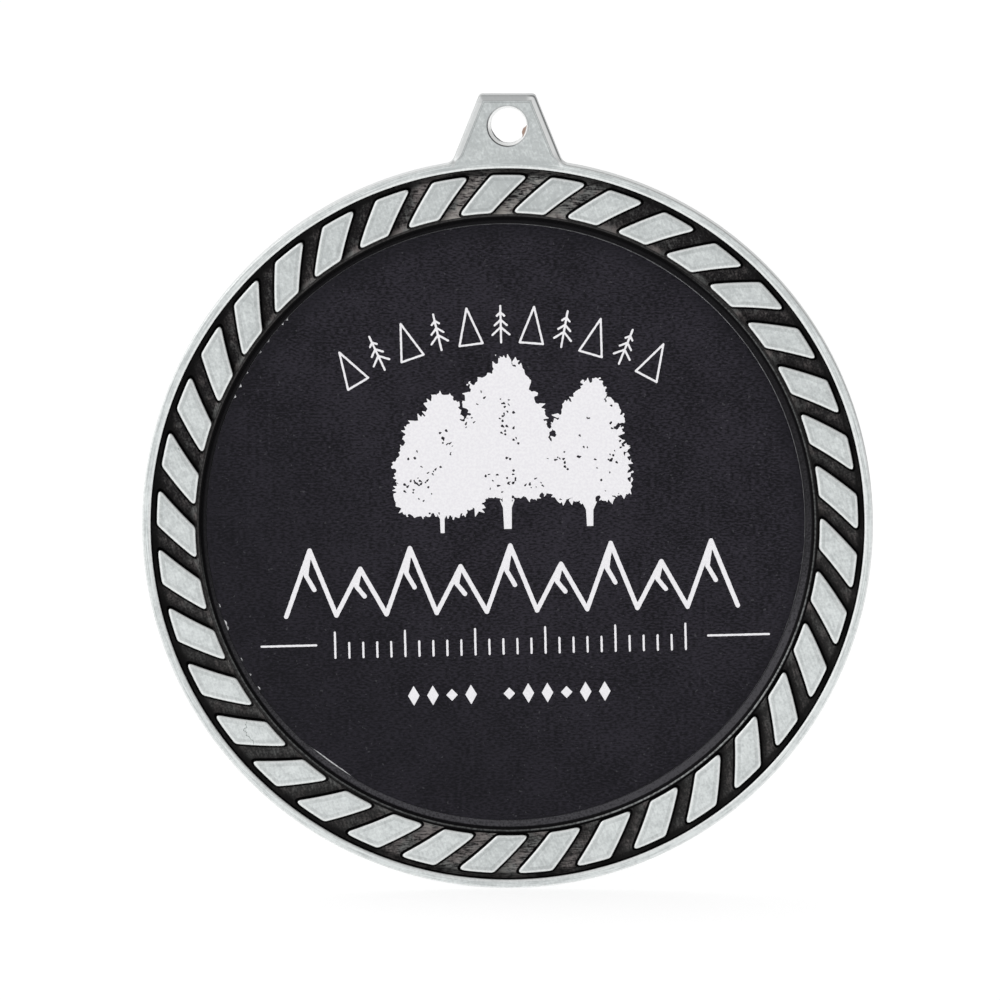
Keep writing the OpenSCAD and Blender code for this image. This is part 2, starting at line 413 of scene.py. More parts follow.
def turned(xy, a):
    """Points turned clockwise."""
    c, s = math.cos(a), math.sin(a)
    return xy @ np.array([[c, -s], [s, c]])


def bar_shells(sections):
    """The 37 bars. sections are pairs of growth and height, from the foot up."""
    all_points, all_faces, start = [], [], 0
    for k in range(BAR_COUNT):
        turn = BAR_TURN + k * BAR_PITCH
        points, faces = skin([flat_loop(turned(bar_outline(g, k), turn), z) for g, z in sections])
        all_points.append(points)
        all_faces += [[v + start for v in f] for f in faces]
        start += len(points)
    return np.concatenate(all_points), all_faces


def bore_loop(r, z, mid, burr=0.0, flash=0.0):
    """A round section of the ribbon hole. burr and flash are how far a burr stands in at its lower
    right and a thin lip at its lower left."""
    turn = whole_turn(144)
    own_r = r - burr * smoothstep(1.3 - np.abs(turn - math.radians(109)) * r / 0.45)
    own_r -= flash * smoothstep(1.4 - np.abs(turn - math.radians(228)) / 0.5)
    return flat_loop(clock(own_r, turn) + mid, z)


def ribbon_bore():
    """The hole's shape: a round-edged mouth, a taper and a straight back part that sits a little
    to the right, with a lip and a burr where the core pins met."""
    lip = FACE_Z - TAB_STEP
    front, back = np.array(HOLE_FRONT), np.array(HOLE_BACK)
    mouth = [(0.3, 0.2), (0.06, 0.01), (0.03, -0.01), (0.01, -0.04), (0, -0.09)]
    loops = [bore_loop(HOLE_R + wide, lip + up, front) for wide, up in mouth]
    for t in np.linspace(0.2, 1, 5):
        r = HOLE_R + (HOLE_BACK_R - HOLE_R) * t
        z = lip - 0.09 + (0.29 - lip) * t
        loops.append(bore_loop(r, z, front + (back - front) * t, 0.3 * max(t - 0.5, 0)))
    back_part = [(0, 0.0, 0.24, 0), (0, -0.4, 0.28, 0), (0, -0.74, 0.24, 0), (0, -0.78, 0.2, 0.09),
                 (0, -0.86, 0.08, 0.09), (-0.02, -0.88, 0, 0), (-0.02, -lip + 0.05, 0, 0),
                 (0.05, -lip - 0.02, 0, 0), (0.2, -lip - 0.2, 0, 0)]
    for wide, z, burr, flash in back_part:
        loops.append(bore_loop(HOLE_BACK_R + wide, z, back, burr, flash))
    return solid("bore", *skin(loops))


# Damage to the bars: a crack right across one of them and a nick in another
CRACK = [(-21.38, -16.05), (-21.42, -16.26), (-21.55, -16.48), (-21.43, -16.7), (-21.68, -16.85),
         (-21.7, -16.98), (-21.48, -17.12), (-21.47, -17.38), (-21.2, -17.52), (-21.14, -17.68),
         (-20.92, -17.86), (-20.88, -18.08), (-20.84, -18.4)]
NICK = [(-27.06, 6.38), (-26.97, 6.24), (-26.86, 6.08)]


def scratch(points, half_w, depth):
    """A V-shaped groove into the bars' tops along a line, thin at both its ends."""
    points = np.asarray(points, float)
    count = len(points)
    along = np.gradient(points, axis=0)
    side = np.stack([along[:, 1], -along[:, 0]], 1) / np.linalg.norm(along, axis=1)[:, None]
    loops = []
    for i, (at, off) in enumerate(zip(points, side)):
        share = 0.35 if i in (0, count - 1) else 1
        w = half_w * share
        loops.append(np.array([[*(at - off * w * 2), BAR_Z + half_w], [*at, BAR_Z - depth * share],
                               [*(at + off * w * 2), BAR_Z + half_w]]))
    return solid("scratch", *skin(loops))


def cast_body(material):
    body = solid("medal_casting", *skin(body_loops()))
    upper = [(0.01, 0.13), (-0.012, 0.09), (-0.035, 0.06), (-0.075, 0.037), (-0.14, 0.017),
             (-0.21, 0.005), (-0.26, 0.0015), (-0.34, 0.003), (-0.44, 0.003), (-0.52, 0)]
    sections = [(0.15, CHANNEL_Z - 0.1), (0.12, CHANNEL_Z + 0.02)]
    sections += [(grow, BAR_Z - down) for grow, down in upper]
    combine(body, solid("bars", *bar_shells(sections)), "UNION")
    combine(body, ribbon_bore(), "DIFFERENCE")
    combine(body, scratch(CRACK, 0.03, 0.07), "DIFFERENCE")
    combine(body, scratch(NICK, 0.04, 0.1), "DIFFERENCE")
    finish_piece(body, material, "cast_body", 50)
    keep_flats_flat(body)


# -------- enamel

def border_enamel(material):
    """The enamel in the channel, up the foot of the rim's wall and up the ramp to the ridge."""
    turn = whole_turn(740)
    top = [(CHANNEL_R - 0.1, CHANNEL_Z + 0.11), (CHANNEL_R - 0.15, ENAMEL_Z + 0.02),
           (CHANNEL_R - 0.2, ENAMEL_Z)]
    top += [(r, ENAMEL_Z) for r in np.linspace(CHANNEL_R - 0.3, RECESS_R + 1.5, 14)]
    film = ENAMEL_Z - CHANNEL_Z
    top += [(r, z + film * 0.6) for r, z in ramp_section()[:9]]
    bottom = [(r, z - 0.02) for r, z in ramp_section()[8::-2]]
    bottom.append((CHANNEL_R - 0.1, CHANNEL_Z - 0.02))
    loops = []
    for r, z in top:
        xy = clock(r, turn)
        wave = 0.012 * value_noise(xy[:, 0], xy[:, 1], 0.5, 5)
        loops.append(flat_loop(xy, z + wave))
    loops += [flat_loop(clock(r, turn), z) for r, z in bottom]
    piece = solid("channel_enamel", *ring_skin(loops))
    feet = bar_shells([(0.18, CHANNEL_Z - 0.1), (0.14, BAR_Z)])
    combine(piece, solid("bar_feet", *feet), "DIFFERENCE")
    finish_piece(piece, material, "border_enamel", 60)


def cove_enamel(material):
    """A rough band of enamel that fills the cove between the ridge and the printed centre."""
    turn = whole_turn(1440)
    disc = clock(CENTRE_R + 0.015, turn) + CENTRE_XY
    wall = clock(RECESS_R - 0.04, turn)
    top_z = FLOOR_Z + COVE_R
    loops = []
    for share, z in ((0, top_z), (0.04, top_z - 0.1), (0.2, top_z - 0.16), (0.45, top_z - 0.17),
                     (0.7, top_z - 0.16), (1, top_z - 0.14)):
        xy = wall + (disc - wall) * share
        rough = 0.014 * value_noise(xy[:, 0], xy[:, 1], 0.14, 8)
        rough += 0.012 * value_noise(xy[:, 0], xy[:, 1], 0.4, 9)
        loops.append(flat_loop(xy, z + rough * (share > 0)))
    loops.append(flat_loop(disc, FLOOR_Z + 0.1))
    loops += [flat_loop(clock(r, turn), z) for r, z in cove_section(0.001)[5::-1]]
    piece = solid("recess_enamel", *ring_skin(loops))
    finish_piece(piece, material, "cove_enamel", 60)


# -------- printed centre

def centre_disc(material):
    """The white stock, with its cut edge a little crushed."""
    low, top = CENTRE_Z
    turn = whole_turn(720)
    edge = [(0.02, low), (0, low + 0.03), (0, top - 0.08), (0.03, top - 0.02), (0.09, top),
            (0.2, top)]
    loops = [flat_loop(clock(CENTRE_R - inset, turn) + CENTRE_XY, z) for inset, z in edge]
    piece = solid("centre_stock", *skin(loops))
    finish_piece(piece, material, "centre_disc")


# Where the print has chipped off the edge: angle clockwise from the top, depth and half width
CHIPS = [(-47, 0.19, 0.11), (-48.2, 0.15, 0.1), (-52.5, 0.14, 0.12), (-55.1, 0.13, 0.1),
         (-59.8, 0.12, 0.1), (-62.7, 0.19, 0.13), (-65, 0.18, 0.13), (-106.3, 0.13, 0.2),
         (-109.8, 0.18, 0.3), (-110.9, 0.2, 0.2), (-117.5, 0.13, 0.2), (-120.9, 0.17, 0.12),
         (-124, 0.17, 0.2), (-144.2, 0.16, 2.3)]


def chipped_radius(turn):
    """The print's edge: a little ragged, with chips."""
    arc_x, arc_y = PRINT_R * np.cos(turn), PRINT_R * np.sin(turn)
    r = PRINT_R + 0.008 * value_noise(arc_x, arc_y, 0.35, 21)
    for angle, depth, half_w in CHIPS:
        off = (turn - math.radians(angle) + math.pi) % (2 * math.pi) - math.pi
        r -= depth * smoothstep(1.3 - np.abs(off) * PRINT_R / half_w)
    return r


def black_print(material):
    low, top = PRINT_Z
    turn = whole_turn(1440)
    edge = chipped_radius(turn)
    sections = (edge, low), (edge - 0.005, top - 0.015), (edge - 0.025, top), (PRINT_R - 0.4, top)
    loops = [flat_loop(clock(r, turn) + PRINT_XY, z) for r, z in sections]
    piece = solid("black_print", *skin(loops))
    finish_piece(piece, material, "black_print")


# -------- white print

class Sheet:
    """A grid over part of the print on which a shape's field is drawn: positive inside."""

    def __init__(self, low, high, cell):
        self.xs = np.arange(low[0], high[0] + cell, cell)
        self.ys = np.arange(low[1], high[1] + cell, cell)
        self.x, self.y = np.meshgrid(self.xs, self.ys)
        self.field = np.full(self.x.shape, -1.0)

    def add(self, field):
        self.field = np.maximum(self.field, field)

    def window(self, a, b, margin):
        """The part of the grid round two points."""
        low, high = np.minimum(a, b) - margin, np.maximum(a, b) + margin
        ix = np.searchsorted(self.xs, [low[0], high[0]])
        iy = np.searchsorted(self.ys, [low[1], high[1]])
        return slice(*iy), slice(*ix)

    def stroke(self, a, b, width, to_width=None, carve=False):
        """A stroke with round ends that may taper. Carved, it is taken away."""
        a, b = np.asarray(a, float), np.asarray(b, float)
        to_width = width if to_width is None else to_width
        part = self.window(a, b, max(width, to_width) + 0.2)
        x, y, d = self.x[part], self.y[part], b - a
        t = np.clip(((x - a[0]) * d[0] + (y - a[1]) * d[1]) / (d @ d), 0, 1)
        away = np.hypot(x - a[0] - t * d[0], y - a[1] - t * d[1])
        shape = (width + (to_width - width) * t) / 2 - away
        old = self.field[part]
        self.field[part] = np.minimum(old, -shape) if carve else np.maximum(old, shape)

    def path(self, points, width):
        for a, b in zip(points[:-1], points[1:]):
            self.stroke(a, b, width)

    def roughen(self, seed, depth=0.012):
        """A fine unevenness of the ink's edge."""
        self.field += depth * value_noise(self.x, self.y, 0.12, seed)


def edge_links():
    """For each pattern of inside corners in a cell, the cell's edges that an outline joins.
    Corners go anticlockwise from the lower left, and edge k runs from corner k to corner k + 1."""
    links = {}
    for case in range(1, 15):
        inside = [case >> k & 1 for k in range(4)]
        pairs = []
        for k in range(4):
            if inside[k] and not inside[(k + 1) % 4]:
                first = k
                while inside[(first - 1) % 4]:
                    first -= 1
                pairs.append((k, (first - 1) % 4))
        links[case] = pairs
    return links


def outlines(sheet):
    """The closed outlines of the parts of a sheet where its field is positive."""
    f = sheet.field.copy()
    f[0], f[-1], f[:, 0], f[:, -1] = -1, -1, -1, -1
    rows, cols = f.shape
    inside = (f > 0).astype(int)
    case = inside[:-1, :-1] + 2 * inside[:-1, 1:] + 4 * inside[1:, 1:] + 8 * inside[1:, :-1]

    def edge_id(k, iy, ix):
        flat = iy * cols + ix
        return [flat, rows * cols + flat + 1, flat + cols, rows * cols + flat][k]

    onward = {}
    for number, pairs in edge_links().items():
        iy, ix = np.nonzero(case == number)
        for k, m in pairs:
            onward.update(zip(edge_id(k, iy, ix).tolist(), edge_id(m, iy, ix).tolist()))

    def crossing(edge):
        upright, flat = divmod(edge, rows * cols)
        iy, ix = divmod(flat, cols)
        jy, jx = (iy + 1, ix) if upright else (iy, ix + 1)
        t = f[iy, ix] / (f[iy, ix] - f[jy, jx])
        return (sheet.xs[ix] * (1 - t) + sheet.xs[jx] * t,
                sheet.ys[iy] * (1 - t) + sheet.ys[jy] * t)

    found = []
    while onward:
        start, edge = onward.popitem()
        loop = [start]
        while edge != start:
            loop.append(edge)
            edge = onward.pop(edge)
        found.append(np.array([crossing(e) for e in loop]))
    return found


def loop_area(loop):
    x, y = loop[:, 0], loop[:, 1]
    return abs(np.sum(x * np.roll(y, -1) - y * np.roll(x, -1))) / 2


def ink_piece(name, node, sheet, material, smallest=0.004):
    """A piece of print: the sheet's shape as a thin solid, in the print's own place and turn.
    Specks with less area than smallest are left out."""
    curve = bpy.data.curves.new(name, "CURVE")
    curve.dimensions = "2D"
    curve.fill_mode = "BOTH"
    curve.extrude = (INK_Z[1] - INK_Z[0]) / 2
    for loop in outlines(sheet):
        if loop_area(loop) < smallest:
            continue
        spline = curve.splines.new("POLY")
        spline.points.add(len(loop) - 1)
        flat = np.column_stack([loop, np.zeros(len(loop)), np.ones(len(loop))])
        spline.points.foreach_set("co", flat.ravel())
        spline.use_cyclic_u = True
    holder = loose_object(name, curve)
    dg = bpy.context.evaluated_depsgraph_get()
    drawn = bpy.data.meshes.new_from_object(holder.evaluated_get(dg))
    bpy.data.objects.remove(holder)
    co = np.array([v.co for v in drawn.vertices])
    co[:, :2] = turned(co[:, :2], -PRINT_TURN) + CENTRE_XY
    co[:, 2] += (INK_Z[0] + INK_Z[1]) / 2
    piece = solid(name, co, [list(p.vertices) for p in drawn.polygons])
    finish_piece(piece, material, node)


FINE_STROKE = 0.17
HILL_STROKE = 0.37


def fir_lines(h):
    lines = [[(0, 0), (0, h)]]
    for i in (1, 2, 3):
        y = h * (0.22 + 0.2 * i)
        reach = h * 0.3 * (1 - 0.22 * i)
        lines.append([(-reach, y - reach * 0.9), (0, y), (reach, y - reach * 0.9)])
    return lines


def peak_lines(h):
    return [[(-h * 0.32, 0), (0, h), (h * 0.32, 0), (-h * 0.32, 0)]]


def print_arch(material):
    """Firs and peaks by turns along an arch over the trees."""
    marks, span, arch_r, mark_h = 11, math.radians(59), 24.0, 3.0
    sheet = Sheet((-15, 9), (15, 19), 0.045)
    for i in range(marks):
        a = -span / 2 + span * i / (marks - 1)
        foot = clock(arch_r, a) + (0, -9.2)
        for line in (peak_lines(mark_h) if i % 2 == 0 else fir_lines(mark_h)):
            sheet.path(turned(np.array(line, float), a) + foot, FINE_STROKE)
    sheet.roughen(31)
    ink_piece("printed_arch", "print_arch", sheet, material)


# A crown's clumps: across and up, then half width and half height, as shares of the tree's
CLUMPS = [(0.05, 0.84, 0.42, 0.16), (-0.3, 0.7, 0.5, 0.18), (0.36, 0.69, 0.5, 0.17),
          (0, 0.53, 0.8, 0.22), (-0.5, 0.46, 0.5, 0.2), (0.54, 0.45, 0.46, 0.22),
          (-0.54, 0.31, 0.44, 0.13), (0.52, 0.3, 0.46, 0.13), (0, 0.3, 0.85, 0.14)]


def leafy(sheet, seed):
    """The ragged edge of foliage, as how far it stands out of its clump."""
    sizes = (1.1, 0.3), (0.55, 0.26), (0.3, 0.24), (0.16, 0.14)
    return sum(deep * value_noise(sheet.x, sheet.y, size, seed + i)
               for i, (size, deep) in enumerate(sizes))


def gaps_in(sheet, rng, foot, size):
    """Small gaps between the leaves, in loose groups."""
    for _ in range(13):
        middle = foot + np.array([rng.uniform(-0.8, 0.8), rng.uniform(0.2, 0.8)]) * size
        for _ in range(rng.integers(1, 8)):
            at = middle + rng.normal(0, 0.38, 2)
            lean = clock(rng.uniform(0.02, 0.1), rng.uniform(0, math.pi))
            sheet.stroke(at - lean, at + lean, rng.uniform(0.08, 0.25), 0.07, carve=True)


def tree(sheet, foot, half_w, height, trunk_w, seed):
    """A leafy tree: a trunk that forks, a crown of clumps with leaves round them, and gaps."""
    rng = np.random.default_rng(seed)
    foot, size = np.asarray(foot, float), np.array([half_w, height])
    sheet.stroke(foot, foot + (0, height * 0.3), trunk_w * 0.95, trunk_w * 1.3)
    sheet.stroke(foot - (1, 0.5), foot + (1, -0.5), 1, 1, carve=True)
    for side in (-1, 1):
        fork = foot + (0, height * 0.09)
        sheet.stroke(fork, fork + (side * 0.55, height * 0.08), trunk_w * 0.5, 0.1)
    ragged = leafy(sheet, seed)
    for across, up, w, h in CLUMPS:
        mid = foot + (np.array([across, up]) + rng.uniform(-0.04, 0.04, 2)) * size
        half = np.array([w, h]) * size * rng.uniform(0.9, 1.06)
        away = np.hypot((sheet.x - mid[0]) / half[0], (sheet.y - mid[1]) / half[1])
        sheet.add((0.97 - away) * min(half) + ragged)
        for a in rng.uniform(0, 2 * math.pi, 18):
            outward = clock(1, a + rng.uniform(-0.7, 0.7))
            edge = mid + clock(1, a) * half * 0.97
            sheet.stroke(edge - outward * 0.1, edge + outward * rng.uniform(0.12, 0.42), 0.38, 0.05)
    gaps_in(sheet, rng, foot, size)


def print_trees(material):
    """Three round-crowned trees that stand close together."""
    sheet = Sheet((-10.4, -1.4), (11.4, 15), 0.04)
    tree(sheet, (-5.22, -0.78), 3.9, 11.3, 0.35, 41)
    tree(sheet, (6.9, -0.5), 3.5, 11.6, 0.55, 63)
    tree(sheet, (0.15, -0.57), 4.2, 14, 0.66, 52)
    ink_piece("printed_trees", "print_trees", sheet, material, 0.006)


def print_hills(material):
    """A skyline of alternate high and low peaks, each with a short spur down its slope."""
    peaks, left, width, base = 9, -18.25, 37.1, -7.35
    step = width / peaks
    sheet = Sheet((-19, -8.2), (19.8, -1.2), 0.05)
    for i in range(peaks):
        h = 5.4 if i % 2 == 0 else 3.8
        x = left + step * (i + 0.5)
        sheet.path([(x - step / 2, base), (x, base + h), (x + step / 2, base)], HILL_STROKE)
        spur = [(x, base + h), (x - 0.35, base + h * 0.62), (x + 0.3, base + h * 0.4)]
        sheet.path(spur, HILL_STROKE)
    sheet.roughen(33)
    ink_piece("printed_hills", "print_hills", sheet, material)


def print_rules(material):
    sheet = Sheet((-20.8, -10.6), (22.6, -9.3), 0.05)
    for from_x, to_x in ((-20.35, -15.85), (16.35, 21.35)):
        sheet.stroke((from_x, -9.77), (to_x, -9.77), FINE_STROKE)
    sheet.roughen(34, 0.01)
    ink_piece("printed_rules", "print_rules", sheet, material)


def print_scale(material):
    """A distance scale: every fifth tick is a long one."""
    ticks, left, width, base = 26, -14.3, 28.8, -10.85
    sheet = Sheet((-14.8, -11.3), (15, -8.3), 0.045)
    for i in range(ticks):
        x = left + width * i / (ticks - 1)
        sheet.stroke((x, base), (x, base + (2.1 if i % 5 == 0 else 1.2)), FINE_STROKE)
    sheet.roughen(35)
    ink_piece("printed_scale", "print_scale", sheet, material)


def print_dots(material):
    """Two groups of small diamonds."""
    pitch, left, y = 1.57, -7.95, -14.14
    sheet = Sheet((-8.8, -15.3), (8.7, -12.9), 0.045)
    for i in range(11):
        if i != 4:
            half_w, half_h = 0.475, (0.5 if i % 3 == 2 else 0.82)
            away = 1 - abs(sheet.x - left - i * pitch) / half_w - abs(sheet.y - y) / half_h
            sheet.add(away * half_w * 0.8)
    ink_piece("printed_dots", "print_dots", sheet, material)


# -------- material tools

class Nodes:
    """A short way to write the nodes of an owner: a material, or the world."""

    def __init__(self, name, kind="materials"):
        self.owner = getattr(bpy.data, kind).new(name)
        self.owner.use_nodes = True
        self.tree = self.owner.node_tree

    def put(self, socket, value):
        if isinstance(value, bpy.types.NodeSocket):
            self.tree.links.new(value, socket)
        elif socket.type == "RGBA":
            socket.default_value = (*value, 1)
        else:
            socket.default_value = value

    def add(self, kind, *inputs, **settings):
        """A node with its settings, and with its first inputs set or linked."""
        node = self.tree.nodes.new("ShaderNode" + kind)
        for name, value in settings.items():
            setattr(node, name, value)
        for socket, value in zip(node.inputs, inputs):
            self.put(socket, value)
        return node

    def set(self, **values):
        """The material's own inputs, by name."""
        shader = self.tree.nodes["Principled BSDF"]
        for name, value in values.items():
            self.put(shader.inputs[name.replace("_", " ")], value)

    def math(self, operation, a, b=0.0, c=0.0):
        return self.add("Math", a, b, c, operation=operation).outputs[0]

    def times(self, first, *rest):
        for value in rest:
            first = self.math("MULTIPLY", first, value)
        return first

    def most(self, first, *rest):
        for value in rest:
            first = self.math("MAXIMUM", first, value)
        return first

    def plus(self, a, b):
        return self.math("ADD", a, b)

    def minus(self, a, b):
        return self.math("SUBTRACT", a, b)

    def times_plus(self, a, factor, more):
        return self.math("MULTIPLY_ADD", a, factor, more)

    def ramp(self, value, low, high, to_low=0.0, to_high=1.0):
        """A smooth step from to_low at low to to_high at high."""
        limits = low, high, to_low, to_high
        return self.add("MapRange", value, *limits, interpolation_type="SMOOTHSTEP").outputs[0]

    def mix(self, share, a, b):
        """a where share is 0 and b where it is 1: colours, or numbers."""
        colours = any(isinstance(v, tuple) or getattr(v, "type", "") == "RGBA" for v in (a, b))
        kind = "RGBA" if colours else "VALUE"
        node = self.add("Mix", share, data_type="RGBA" if colours else "FLOAT")
        slots = [k for k in node.inputs if k.type == kind and k.enabled]
        self.put(slots[-2], a)
        self.put(slots[-1], b)
        return [k for k in node.outputs if k.type == kind and k.enabled][0]

    def face_place(self):
        """The place on the face, x, y and z, in millimetres."""
        split = self.add("SeparateXYZ", self.add("TexCoord").outputs["Object"]).outputs
        return (self.times(split["X"], 1 / MM), self.times_plus(split["Z"], 1 / MM, -DISC_Y),
                self.times(split["Y"], -1 / MM))

    def length(self, x, y):
        return self.math("SQRT", self.plus(self.times(x, x), self.times(y, y)))

    def polar(self, x, y):
        """Radius, and angle clockwise from the top."""
        return self.length(x, y), self.math("ARCTAN2", x, y)

    def noise(self, at, scale, detail, roughness=0.5):
        """Noise from 0 to 1 at a place given as x, y and z."""
        place, unused_w = self.add("CombineXYZ", *at).outputs[0], 0.0
        return self.add("TexNoise", place, unused_w, scale, detail, roughness).outputs["Fac"]

    def bump(self, height, distance_mm, strength):
        node = self.add("Bump")
        node.inputs["Distance"].default_value = distance_mm * MM
        node.inputs["Strength"].default_value = strength
        self.put(node.inputs["Height"], height)
        self.set(Normal=node.outputs[0])

    def squareness(self):
        """1 where the surface is square on to the face's direction, 0 where it is edge on."""
        normal = self.add("TexCoord").outputs["Normal"]
        return self.math("ABSOLUTE", self.add("SeparateXYZ", normal).outputs["Y"])

    def near(self, x, y, at, low, high):
        """1 within low of a point on the face, falling to 0 at high."""
        return self.ramp(self.length(self.minus(x, at[0]), self.minus(y, at[1])), high, low)

    def facing(self, turn, degrees, *limits):
        """A ramp on the cosine of how far a turn is from an angle clockwise from the top."""
        return self.ramp(self.math("COSINE", self.minus(turn, math.radians(degrees))), *limits)


# -------- materials

def antique_silver():
    """Satin silver that black antiquing has been rubbed off, save in the low places; its bevels,
    the tab's right chamfer, the hole and the ridge carry painted highlights and painted shade.
    """
    n = Nodes("antique_silver")
    x, y, z = n.face_place()
    r, turn = n.polar(x, y)
    lip = FACE_Z - TAB_STEP
    fine = n.noise((x, y, z), 4.2, 3, 0.6)
    square = n.squareness()
    # Bevels, by how far they tilt from the face: partly real buffing, partly a painted highlight
    # that makes every edge brighter than the flats.
    polish_and_highlight = n.ramp(square, 0.9995, 0.97)
    on_tab = n.ramp(r, RIM_R - 0.05, RIM_R + 0.1)
    silver = brushed_tone(n, x, y, z, r, turn, fine, on_tab)
    duller = n.most(n.times(on_tab, 0.6), n.ramp(y, TAB_PEAK - 0.8, TAB_PEAK - 0.6, 0, 0.8))
    shine = n.mix(n.ramp(fine, 0.3, 0.7), (0.72, 0.74, 0.735), (0.84, 0.86, 0.855))
    silver = n.mix(polish_and_highlight, silver, n.mix(duller, shine, (0.5, 0.51, 0.51)))
    # Painted shade: a thin dark line along the shallow dip just inside each bar's top edge.
    line = n.times(n.ramp(z, BAR_Z - 0.001, BAR_Z - 0.0022),
                   n.ramp(z, BAR_Z - 0.0042, BAR_Z - 0.0035))
    silver = n.mix(n.times(line, 0.13), silver, (0, 0, 0))
    # Painted highlight on the tab's right-hand chamfer and on the hole's wall, and painted shade
    # along the outer line of that chamfer.
    facet = n.times(on_tab, n.ramp(square, 0.99, 0.96), n.ramp(x, 1.5, 2), n.ramp(z, 1, 1.1))
    hole_wall_light = n.times(n.near(x, y, HOLE_FRONT, HOLE_R + 0.02, HOLE_R + 0.04),
                      n.ramp(z, lip - 0.15, lip - 0.2))
    silver = n.mix(n.most(facet, hole_wall_light), silver, (0.9, 0.91, 0.905))
    silver = n.mix(n.times(facet, n.ramp(z, lip - 0.105, lip - 0.125)), silver, (0.36, 0.37, 0.37))

    # Painted shade: a dark ring round the hole's mouth, heaviest to the lower left, a dark line
    # where the bore's front and back parts meet, and a dark line at the foot of the tab's chamfer.
    low_left = n.times_plus(x, -0.8, n.times(n.minus(y, HOLE_Y), -0.6))
    mouth = n.times(n.near(x, y, HOLE_FRONT, HOLE_R + 0.07, HOLE_R + 0.13),
                    n.ramp(z, lip - 0.13, lip - 0.05), n.ramp(low_left, -0.4, 1.5, 0.15, 0.95))
    seam_shade = n.times(n.near(x, y, HOLE_BACK, HOLE_BACK_R - 0.02, HOLE_BACK_R),
                   n.ramp(z, -0.68, -0.76), n.ramp(z, -0.95, -0.88),
                   n.ramp(low_left, 0.7, 1.3, 0, 0.8))
    crease = n.times(on_tab, n.ramp(z, lip - 0.004, lip - 0.012), n.ramp(square, 0.97, 0.985), 0.3)
    painted_shade = n.most(mouth, seam_shade, crease)
    silver = n.mix(painted_shade, silver, (0.07, 0.07, 0.075))
    copper = n.times(n.near(x, y, (1.5, HOLE_Y - 0.5), 0.48, 0.58), n.ramp(z, 0.7, 0.5))
    silver = n.mix(copper, silver, (0.28, 0.17, 0.12))

    dirt = n.plus(n.minus(FACE_Z, z), n.times(n.minus(fine, 0.5), 0.05))
    in_face = n.ramp(r, CHANNEL_R + 0.06, CHANNEL_R + 0.04)
    black = n.times(n.ramp(dirt, 0.11, 0.16), in_face, n.ramp(z, 0, 0.1))
    # Painted glint, partly rubbed silver: the black thins off the inner crest of the ridge on the
    # lower right only, where the light catches it.
    paler = n.times(n.ramp(r, RECESS_R + 0.22, RECESS_R + 0.16),
                   n.ramp(r, RECESS_R + 0.03, RECESS_R + 0.09), n.facing(turn, 150, -0.5, -0.15),
                   n.ramp(fine, 0.35, 0.6, 0.17, 0.42), n.facing(turn, 137, 0.75, 1, 0.3, 1))
    black = n.times(black, n.minus(1.0, paler))
    # Painted highlight: the outer slope of the ridge is lighter towards the upper left.
    flank_highlight = n.times(n.ramp(r, RECESS_R + 0.17, RECESS_R + 0.26),
                    n.ramp(r, RECESS_R + 0.6, RECESS_R + 0.45),
                    n.ramp(fine, 0.3, 0.7, 0.4, 1), n.facing(turn, 325, -0.9, 0.5))
    ink = n.mix(flank_highlight, (0.0022, 0.002, 0.0023), (0.062, 0.06, 0.06))

    n.set(Base_Color=n.mix(black, silver, ink),
          Metallic=n.minus(1.0, black), Specular_IOR_Level=0.04,
          Roughness=n.mix(n.most(polish_and_highlight, black), n.ramp(fine, 0.3, 0.7, 0.42, 0.52), 0.36))
    n.bump(fine, 0.01, 0.5)
    return n.owner


def brushed_tone(n, x, y, z, r, turn, fine, on_tab):
    """The silver's colour on the flats: streaks on bars, rings on the rim, mottle on the tab."""
    cloud = n.noise((x, y, z), 0.9, 3, 0.6)
    along = n.times_plus(x, 5.5, n.times(y, 2.5)), n.times_plus(y, 0.8, n.times(x, -1.4)), 1.0
    streak = n.noise(along, 1.0, 3)
    rings = n.noise((n.times(r, 11), n.times(turn, 9), 1.0), 1.0, 2)
    on_rim = n.times(n.ramp(r, CHANNEL_R - 0.1, CHANNEL_R), n.ramp(r, RIM_R - 0.1, RIM_R - 0.2))
    mottle = n.noise((n.times(x, 0.7), y, z), 2.6, 3, 0.65)
    brushed = n.mix(on_rim, n.mix(0.45, streak, mottle), rings)
    brushed = n.mix(on_tab, brushed, n.mix(0.5, streak, mottle))
    share = n.times_plus(on_rim, 0.24, n.times_plus(on_tab, 0.06, 0.34))
    tone = n.times_plus(fine, 0.3, n.times(cloud, 0.2))
    tone = n.times_plus(n.minus(brushed, 0.5), share, n.plus(tone, 0.25))
    up_and_down = n.ramp(n.math("ABSOLUTE", n.math("COSINE", turn)), 0.97, 1, 0, -0.05)
    up_and_down = n.times(up_and_down, n.ramp(z, 0, 0.2))
    tone = n.plus(n.times_plus(y, -0.0012, tone), up_and_down)
    tone = n.times_plus(on_rim, 0.02, n.times_plus(on_tab, 0.025, tone))
    return n.mix(n.ramp(tone, 0.35, 0.65), (0.495, 0.522, 0.522), (0.8, 0.835, 0.83))


def gap_shade(n, r, turn):
    """Darker on the side of each gap that the light from the left doesn't reach."""
    lean = n.math("LOGARITHM", n.math("DIVIDE", r, BAR_MID_R), math.e)
    slant = n.times(lean, math.tan(BAR_SLANT))
    phase = n.minus(n.minus(turn, BAR_TURN), slant)
    across = n.math("SINE", n.times(phase, BAR_COUNT))
    away = n.math("COSINE", n.minus(turn, math.radians(110)))
    return n.ramp(n.times(across, away), 0.3, -0.85, 1, 0.1)


